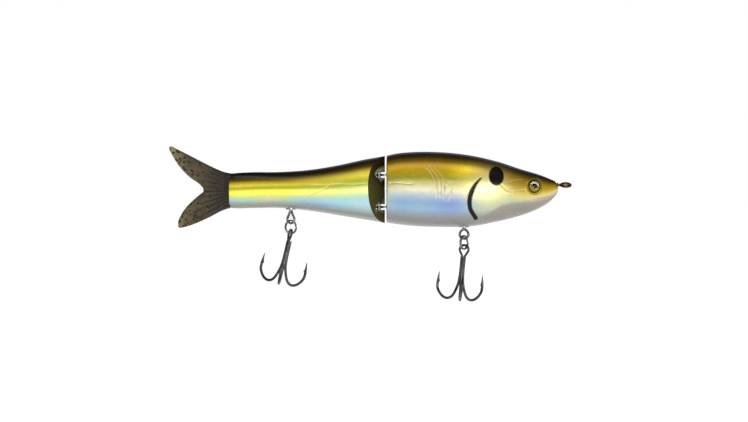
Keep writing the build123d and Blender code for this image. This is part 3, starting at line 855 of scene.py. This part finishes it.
hingeWire = {"loop": 1.45, "wire": 0.5, "bead": 0.62, "beadWire": 0.22}
for node in ("hinge_eye_upper", "hinge_eye_lower"):
    low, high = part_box(node)
    axis = Vector((joints["body_hinge"]["pos_m"][0], 0, (low.z + high.z) / 2))
    shank = (high.x - axis.x) / mm - hingeWire["loop"]
    path = [p * mm for p in wireEye(hingeWire["loop"], shank)]
    verts, faces = tubeMesh(path, hingeWire["wire"] * mm, 18)
    seat = Matrix.Translation(axis) @ turnedBy(180, "Z")
    # a bead where the wire leaves the head's flat end
    bead = beadRing(hingeWire["bead"], hingeWire["beadWire"], 30, 10)
    beadSeat = Matrix.Translation((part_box("head_shell_left")[0].x, 0, axis.z)) @ turnedBy(90, "Y")
    verts, faces = joinTubes((placed(verts, seat), faces), (placed(bead[0], beadSeat), bead[1]))
    piece = makeObject(node.replace("hinge_eye_", "hingeEye_"), verts, faces, metals["hingeWire"], 50)
    finishPiece(piece, "head", "steel_wire", node)

hangerLook = {
    "loop": 2.1, "wire": 0.55, "yaw": {"front": -30.0, "rear": -42.0},
    "belowBarrel": 0.62, "stem": 0.68, "button": 1.3, "buttonThick": 0.95,
}
ringLook = {"radius": 2.9, "wire": 0.31, "pitch": 0.66, "yaw": {"front": 56.0, "rear": 42.0}}
trebleLook = {
    "wire": 0.60, "eyeWire": 0.525, "length": 24.6, "spread": 11.8, "throat": 12.0, "eye": 1.95, "point": 4.4,
    "yaw": {"front": -13.0, "rear": 111.0}, "tilt": {"front": 5.6, "rear": 13.0},
    "tineTurn": {"front": 13.0, "rear": 9.0}, "eyeAbove": 2.25, "braze": (-5.9, -11.3),
}


def mirroredPath(half, y, perSpan):
    # a loop from its right half: (x, z) points that end on the middle line
    return smoothPath([(x, y, z) for x, z in half] + [(-x, y, z) for x, z in half[-2::-1]], perSpan)


def hangerMesh(end):
    spot = Vector(joints[end + "_hanger_swivel"]["pos_m"])
    r, wire = hangerLook["loop"], hangerLook["wire"]
    barrelLow = (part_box(end + "_hanger_barrel")[0].z - spot.z) / mm
    neck = barrelLow - hangerLook["belowBarrel"]
    # pear-shaped loop drawn up into the stem
    half = [
        (0.42, neck), (0.62, neck - 0.5), (1.30, r * 0.62), (r * 0.93, r * 0.18),
        (r, -r * 0.25), (r * 0.72, -r * 0.74), (0.0, -r),
    ]
    tube = tubeMesh([p * mm for p in mirroredPath(half, 0, 12)], wire * mm, 18)
    # the stem turns in the barrel and ends in a button above it
    top = (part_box(end + "_hanger")[1].z - spot.z) / mm
    stem, button, thick = hangerLook["stem"], hangerLook["button"], hangerLook["buttonThick"]
    profile = [
        (0.02, neck - 0.9), (0.5, neck - 0.75), (stem + 0.01, neck - 0.3), (stem, neck + 0.2),
        (stem, top - thick - 0.05), (button, top - thick), (button, top - 0.1),
        (button - 0.1, top), (0.02, top),
    ]
    verts, faces = joinTubes(tube, lathe([(radius * mm, z * mm) for radius, z in profile], 40))
    return placed(verts, Matrix.Translation(spot) @ turnedBy(hangerLook["yaw"][end], "Z")), faces


def ringMesh(end):
    low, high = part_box(end + "_split_ring")
    center = Vector(joints[end + "_hanger_swivel"]["pos_m"])
    center.z = (low.z + high.z) / 2
    path = []
    steps = 200
    for k in range(steps + 1):
        turn = 4 * math.pi * k / steps
        # the wire steps over at the split instead of rising evenly
        rise = np.interp(k / steps, [0, 0.42, 0.58, 1], [-0.5, -0.46, 0.46, 0.5]) * ringLook["pitch"]
        x, y = ringLook["radius"] * math.cos(turn), ringLook["radius"] * math.sin(turn)
        path.append(Vector((x, y, float(rise))) * mm)
    # both ends are ground thinner
    verts, faces = tubeMesh(path, lambda s: ringLook["wire"] * mm * min(1, 0.45 + 40 * min(s, 1 - s)), 16)
    seat = Matrix.Translation(center) @ turnedBy(ringLook["yaw"][end], "Z") @ turnedBy(90, "X")
    return placed(verts, seat), faces


def tineTube(azimuth):
    # one hook wire: shank, spreading leg, round bend and a cut-in barb below the point
    w, length = trebleLook["wire"], trebleLook["length"]
    outer = trebleLook["spread"] - w
    shank = 2 * w / math.sqrt(3)
    low = -length + w
    tip = -length + trebleLook["throat"]
    knots = [
        (shank, -5.4), (shank, -8.4), (shank, -11.3), (shank * 1.15, -14.0), (shank * 1.7, -17.2),
        (2.6, low + 2.8), (4.1, low + 0.75), (6.1, low), (8.2, low + 0.6), (9.9, low + 2.1),
        (10.95, low + 3.8), (outer, low + 5.4), (outer - 0.1, tip - 3.8), (outer - 0.4, tip),
    ]
    path = smoothPath([(r, 0, z) for r, z in knots], 9)
    total = sum((b - a).length for a, b in zip(path, path[1:]))
    pointShare = trebleLook["point"] / total

    def girth(s):
        left = (1 - s) / pointShare
        return w * mm * (1.0 if left > 1 else 0.05 + 0.95 * left ** 0.8)

    tube = tubeMesh([p * mm for p in path], girth, 18)
    # barb outline: radius, height above its foot and half thickness
    bx, bz = outer - 0.22, tip - 3.9
    barb = [
        (bx - 0.1, 1.5, 0.16), (bx - 0.35, 0.7, 0.20), (bx - 0.95, -0.9, 0.05),
        (bx - 0.30, -0.5, 0.22), (bx - 0.05, -0.9, 0.24),
    ]
    verts = [Vector((x, y, bz + z)) * mm for x, z, half in barb for y in (-half, half)]
    faces = [(i, i + 1, i + 3, i + 2) for i in (0, 2, 4, 6)]
    faces += [(0, 2, 4, 6, 8), (9, 7, 5, 3, 1), (8, 9, 1, 0)]
    verts, faces = joinTubes(tube, (verts, faces))
    return placed(verts, turnedBy(azimuth, "Z")), faces


def trebleEyeTube():
    w, r = trebleLook["eyeWire"], trebleLook["eye"]
    side = w * 1.02
    top = -w
    half = [
        (side, -8.2), (side, -6.2), (side + 0.12, -5.2), (1.35, -3.9),
        (r * 0.97, -2.75), (r * 0.88, -1.55), (r * 0.5, top - 0.22), (0, top),
    ]
    path = mirroredPath(half, side / math.sqrt(3), 10)
    return tubeMesh([p * mm for p in path], w * mm, 18)


def brazeMesh(turn):
    # silver-soldered sleeve that fills between the three shanks
    verts = []
    rows, around = 26, 36
    top, bottom = trebleLook["braze"]
    for i in range(rows + 1):
        s = i / rows
        z = top + (bottom - top) * s
        swell = math.sin(math.pi * s) ** 0.5
        for k in range(around):
            a = 2 * math.pi * k / around
            lobes = 0.88 + 0.14 * math.cos(3 * (a - math.radians(30)))
            r = (0.25 + (lobes - 0.06) * swell) if 0 < i < rows else 0.2
            verts.append(Vector((r * math.cos(a), r * math.sin(a), z)) * mm)
    return placed(verts, turnedBy(turn, "Z")), ringFaces(rows + 1, around)


def trebleSeat(end):
    pivot = Vector(joints[end + "_treble_swing"]["pos_m"])
    hang = turnedBy(trebleLook["tilt"][end], "Y") @ turnedBy(trebleLook["yaw"][end], "Z")
    return Matrix.Translation(pivot) @ hang @ Matrix.Translation((0, 0, trebleLook["eyeAbove"] * mm))


for end in ("front", "rear"):
    piece = makeObject(end + "HangerWire", *hangerMesh(end), metals["ringNickel"], 50)
    finishPiece(piece, end + "_hanger", "steel_wire", end + "_hanger")
    piece = makeObject(end + "SplitRing", *ringMesh(end), metals["ringNickel"], 60)
    finishPiece(piece, end + "_ring", "ring_steel", end + "_split_ring")
    seat = trebleSeat(end)
    turn = trebleLook["tineTurn"][end]
    verts, faces = joinTubes(trebleEyeTube(), tineTube(30 + turn), tineTube(150 + turn), brazeMesh(turn))
    piece = makeObject(end + "TreblePair", placed(verts, seat), faces, metals["hookBlackNickel"], 50)
    finishPiece(piece, end + "_treble", "hook_black_nickel", end + "_treble_double")
    verts, faces = tineTube(270 + turn)
    piece = makeObject(end + "TrebleThird", placed(verts, seat), faces, metals["hookBlackNickel"], 50)
    finishPiece(piece, end + "_treble", "hook_black_nickel", end + "_treble_single")
print("hooks, rings and hangers made")

# soft tail

tailShape = {
    "rootThick": 3.3, "tipThick": 0.9, "edge": 1.3, "grid": 0.34,
    "rayDepth": 0.26, "rays": 9, "rayFan": 1.15, "rayCenter": (-138.0, -2.4), "rippleDepth": 0.05,
    "rootX": -145.0, "fadeLength": 26.0, "colorLength": 24.0,
    # colour from the root to the tips
    "stain": [
        (0.0, (22, 17, 9)), (0.22, (40, 31, 15)), (0.45, (72, 59, 32)),
        (0.75, (96, 82, 46)), (1.0, (136, 122, 82)),
    ],
    # x from the line tie and z, in mm
    "topEdge": [(-143.6, 4.9), (-148.0, 5.9), (-154.0, 8.6), (-161.0, 12.2), (-169.9, 16.75)],
    "upperBack": [
        (-170.9, 16.4), (-170.4, 14.4), (-166.7, 8.3), (-162.3, 3.6), (-158.2, 0.7), (-156.3, -1.2),
    ],
    "lowerBack": [
        (-156.1, -2.9), (-159.2, -5.4), (-163.0, -9.0), (-165.6, -12.6), (-166.9, -15.4), (-167.0, -18.1),
    ],
    "bottomEdge": [(-166.1, -18.6), (-161.6, -17.4), (-154.4, -14.4), (-148.5, -11.3), (-143.6, -9.6)],
}


def tailOutline():
    outline = []
    for key in ("topEdge", "upperBack", "lowerBack", "bottomEdge"):
        outline += [(p.x, p.y) for p in smoothPath([(x, z, 0) for x, z in tailShape[key]], 12)]
    return outline


def tailMaterial():
    mat, tree, shader = newMaterial(
        "softTailPlastisol", Subsurface_Weight=0.22, Subsurface_Scale=0.0015,
        Coat_Weight=0.12, Coat_Roughness=0.25, Specular_IOR_Level=0.28,
    )
    root = attribute(tree, "rootShare")
    cloud = noiseAt(tree, 150, 4)
    color = colorRamp(tree, root, tintStops(tailShape["stain"]))
    color = mixColor(tree, rampValue(tree, cloud, 0.40, 0.60, 0.0, 0.62), color, tint(48, 33, 14))
    # dark specks, one in some of the cells
    place = tree.nodes.new("ShaderNodeTexCoord")
    cells = tree.nodes.new("ShaderNodeTexVoronoi")
    cells.inputs["Scale"].default_value = 820.0
    tree.links.new(place.outputs["Object"], cells.inputs["Vector"])
    pick = rampValue(tree, cells.outputs["Color"], 0.40, 0.46)
    dot = rampValue(tree, cells.outputs["Distance"], 0.52, 0.36)
    speck = mathNode(tree, "MULTIPLY", dot, pick, clamp=True)
    color = mixColor(tree, speck, color, tint(12, 9, 6))
    # painted shade: the ray grooves darkened almost to black near the root
    color = mixColor(tree, attribute(tree, "rayGrooveShade"), color, tint(14, 10, 6))
    color = mixColor(tree, edgeWear(tree, 0.54, 0.64, 0.35), color, tint(128, 112, 72))
    tree.links.new(color, shader.inputs["Base Color"])
    tree.links.new(rampValue(tree, cloud, 0.3, 0.7, 0.34, 0.52), shader.inputs["Roughness"])
    bumpFrom(tree, shader, noiseAt(tree, 800, 3), 0.00005, 0.6)
    return mat


def rayAt(x, z):
    # 1 on the line of a ray and 0 between two, as rays fan out of the root into both lobes
    cx, cz = tailShape["rayCenter"]
    fan = np.arctan2(z - cz, -(x - cx))
    return 0.5 + 0.5 * np.cos(fan * tailShape["rays"] * 2 * math.pi / tailShape["rayFan"])


def makeTail():
    outline = tailOutline()
    step = tailShape["grid"]
    gx, gz = np.meshgrid(np.arange(-171, -143, step), np.arange(-19, 17.2, step))
    gx = gx + (np.arange(gx.shape[0]) % 2)[:, None] * step / 2
    inside = np.zeros(gx.shape, bool)
    for (xi, zi), (xj, zj) in zip(outline, outline[-1:] + outline[:-1]):
        inside ^= ((zi > gz) != (zj > gz)) & (gx < (xj - xi) * (gz - zi) / (zj - zi + 1e-12) + xi)
    ring = outline + [outline[0]]
    far, _ = pathDistance(gx, gz, ring)
    keep = inside & (far > step * 0.45)
    coords = [Vector(p) for p in outline] + [Vector((a, b)) for a, b in zip(gx[keep], gz[keep])]
    count = len(outline)
    edges = [(i, (i + 1) % count) for i in range(count)]
    points, _, tris, *_ = delaunay_2d_cdt(coords, edges, [], 1, 1e-5)
    px, pz = (np.array([p[i] for p in points]) for i in range(2))
    rim, _ = pathDistance(px, pz, ring)
    rim = np.where(rim < 1e-3, 0, rim)
    span = np.clip((tailShape["rootX"] - px) / tailShape["fadeLength"], 0, 1)
    thick = tailShape["rootThick"] + (tailShape["tipThick"] - tailShape["rootThick"]) * span ** 0.75
    inner = np.clip(rim / tailShape["edge"], 0, 1)
    half = thick / 2 * np.sqrt(np.clip(1 - (1 - inner) ** 2, 0, 1))
    strength = np.clip(1.15 - span * 1.5, 0, 1) * np.clip((-px - 145.2) / 1.5, 0, 1)
    ripple = 0.5 + 0.5 * np.sin(px * 2.2 + np.sin(pz * 0.9) * 1.2)
    groove = rayAt(px, pz) ** 3 * strength
    half = half - tailShape["rayDepth"] * groove * inner
    half = half - tailShape["rippleDepth"] * ripple * inner * strength
    half = np.maximum(half, np.where(rim > 0, 0.05, 0))
    # left side, then its mirror image, which shares the points of the rim
    verts = [Vector((x, y, z)) * mm for x, y, z in zip(px, half, pz)]
    mirrored = list(range(len(px)))
    for i in np.flatnonzero(half > 0):
        mirrored[i] = len(verts)
        verts.append(Vector((px[i], -half[i], pz[i])) * mm)
    faces = []
    for tri in tris:
        faces.append(tuple(tri))
        faces.append(tuple(mirrored[i] for i in tri)[::-1])
    tail = makeObject("softTail", verts, faces, tailMaterial(), 70)
    rootLayer = tail.data.attributes.new("rootShare", "FLOAT", "POINT")
    rayLayer = tail.data.attributes.new("rayGrooveShade", "FLOAT", "POINT")
    for v, root, dark in zip(tail.data.vertices, rootLayer.data, rayLayer.data):
        x, z = v.co.x / mm, v.co.z / mm
        share = min(max((tailShape["rootX"] - x) / tailShape["colorLength"], 0), 1)
        root.value = share
        # painted shade in the ray grooves, fading out away from the root
        dark.value = float(rayAt(x, z)) ** 4 * min(max(1.0 - share * 1.8, 0), 1) * 0.8
    return tail


tail = makeTail()
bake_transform(tail)
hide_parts("tail_root", "tail_fin")
print("soft tail made")

# turned and ground pieces inside the body keep their CAD shape

keptNodes = {
    "hinge_pin": "steelWire", "front_hanger_barrel": "ringNickel", "rear_hanger_barrel": "ringNickel",
    "head_ballast_front": "brassTurned", "head_ballast_rear": "brassTurned", "rear_ballast": "brassTurned",
}
for node, finish in keptNodes.items():
    obj = frame["nodes"][node]
    obj.data.materials.clear()
    obj.data.materials.append(metals[finish])

# floor, light and camera

studio = {
    "floorDrop": 0.040, "floorGlow": 0.93, "worldWhite": 1.0, "worldLight": 0.62,
    "keyPower": 1.0, "fillPower": 1.6, "rimPower": 0.15,
    "lens": 85.0, "cameraPlace": (-0.0826, -0.761, -0.0112),
    # grey of the surroundings from straight down (0) to straight up (1)
    "worldGrey": [
        (0.0, (0.60, 0.60, 0.61, 1)), (0.40, (0.50, 0.50, 0.51, 1)), (0.5, (0.85, 0.85, 0.86, 1)),
        (0.62, (0.75, 0.75, 0.75, 1)), (0.78, (0.30, 0.30, 0.30, 1)), (1.0, (0.16, 0.16, 0.16, 1)),
    ],
}


def makeFloor():
    # wide flat floor, level far past the edge of the picture
    mat, tree, shader = newMaterial("paleFloor", Roughness=0.75, Specular_IOR_Level=0.1)
    shade = mixColor(tree, noiseAt(tree, 9, 3), tint(250, 250, 250), tint(246, 246, 247))
    tree.links.new(shade, shader.inputs["Base Color"])
    tree.links.new(shade, shader.inputs["Emission Color"])
    shader.inputs["Emission Strength"].default_value = studio["floorGlow"]
    z = cadBox[0].z - studio["floorDrop"]
    radii, around = [0.3, 0.8, 2.0, 5.0, 12.0, 40.0], 64
    verts, faces = [], []
    for r in radii:
        for turn in np.linspace(0, 2 * math.pi, around, endpoint=False):
            verts.append(Vector((r * math.cos(turn), r * math.sin(turn), z)))
    for i in range(len(radii) - 1):
        for k in range(around):
            a, b = i * around + k, i * around + (k + 1) % around
            faces.append((a, b, b + around, a + around))
    verts.append(Vector((0, 0, z)))
    faces += [(len(verts) - 1, k, (k + 1) % around) for k in range(around)]
    floor = makeObject("paleFloor", verts, faces, mat, 60)


def addLight(name, place, target, size, sizeY, power):
    data = bpy.data.lights.new(name, "AREA")
    data.shape = "RECTANGLE"
    data.size = size
    data.size_y = sizeY
    data.energy = power
    lamp = linkedObject(name, data)
    lamp.location = place
    lamp.rotation_euler = (Vector(target) - Vector(place)).to_track_quat("-Z", "Y").to_euler()


def makeWorld():
    # plain white behind the object, soft greys for what it mirrors
    world = bpy.data.worlds.new("studioWhite")
    world.use_nodes = True
    bpy.context.scene.world = world
    tree = world.node_tree
    ground = tree.nodes["Background"]
    seen = tree.nodes.new("ShaderNodeBackground")
    seen.inputs["Color"].default_value = (1, 1, 1, 1)
    seen.inputs["Strength"].default_value = studio["worldWhite"]
    place = tree.nodes.new("ShaderNodeTexCoord")
    split = tree.nodes.new("ShaderNodeSeparateXYZ")
    tree.links.new(place.outputs["Generated"], split.inputs[0])
    shade = colorRamp(tree, rampValue(tree, split.outputs[2], -1, 1), studio["worldGrey"])
    tree.links.new(shade, ground.inputs["Color"])
    ground.inputs["Strength"].default_value = studio["worldLight"]
    rays = tree.nodes.new("ShaderNodeLightPath")
    blend = tree.nodes.new("ShaderNodeMixShader")
    tree.links.new(rays.outputs["Is Camera Ray"], blend.inputs[0])
    tree.links.new(ground.outputs[0], blend.inputs[1])
    tree.links.new(seen.outputs[0], blend.inputs[2])
    tree.links.new(blend.outputs[0], tree.nodes["World Output"].inputs["Surface"])


makeFloor()
makeWorld()
middle = (cadBox[0] + cadBox[1]) / 2
addLight("keySoftbox", (-0.10, -0.45, 0.55), middle, 0.55, 0.30, studio["keyPower"])
addLight("frontFill", (0.05, -0.75, 0.02), middle, 0.5, 0.25, studio["fillPower"])
addLight("backStrip", (-0.08, 0.5, 0.45), middle, 0.6, 0.2, studio["rimPower"])

cameraData = bpy.data.cameras.new("productCamera")
cameraData.lens = studio["lens"]
cameraData.sensor_width = 36.0
camera = linkedObject("productCamera", cameraData)
camera.location = studio["cameraPlace"]
camera.rotation_euler = (math.pi / 2, 0, 0)
bpy.context.scene.camera = camera
bpy.context.scene.view_settings.view_transform = "Standard"
bpy.context.scene.view_settings.look = "None"
print("studio ready")
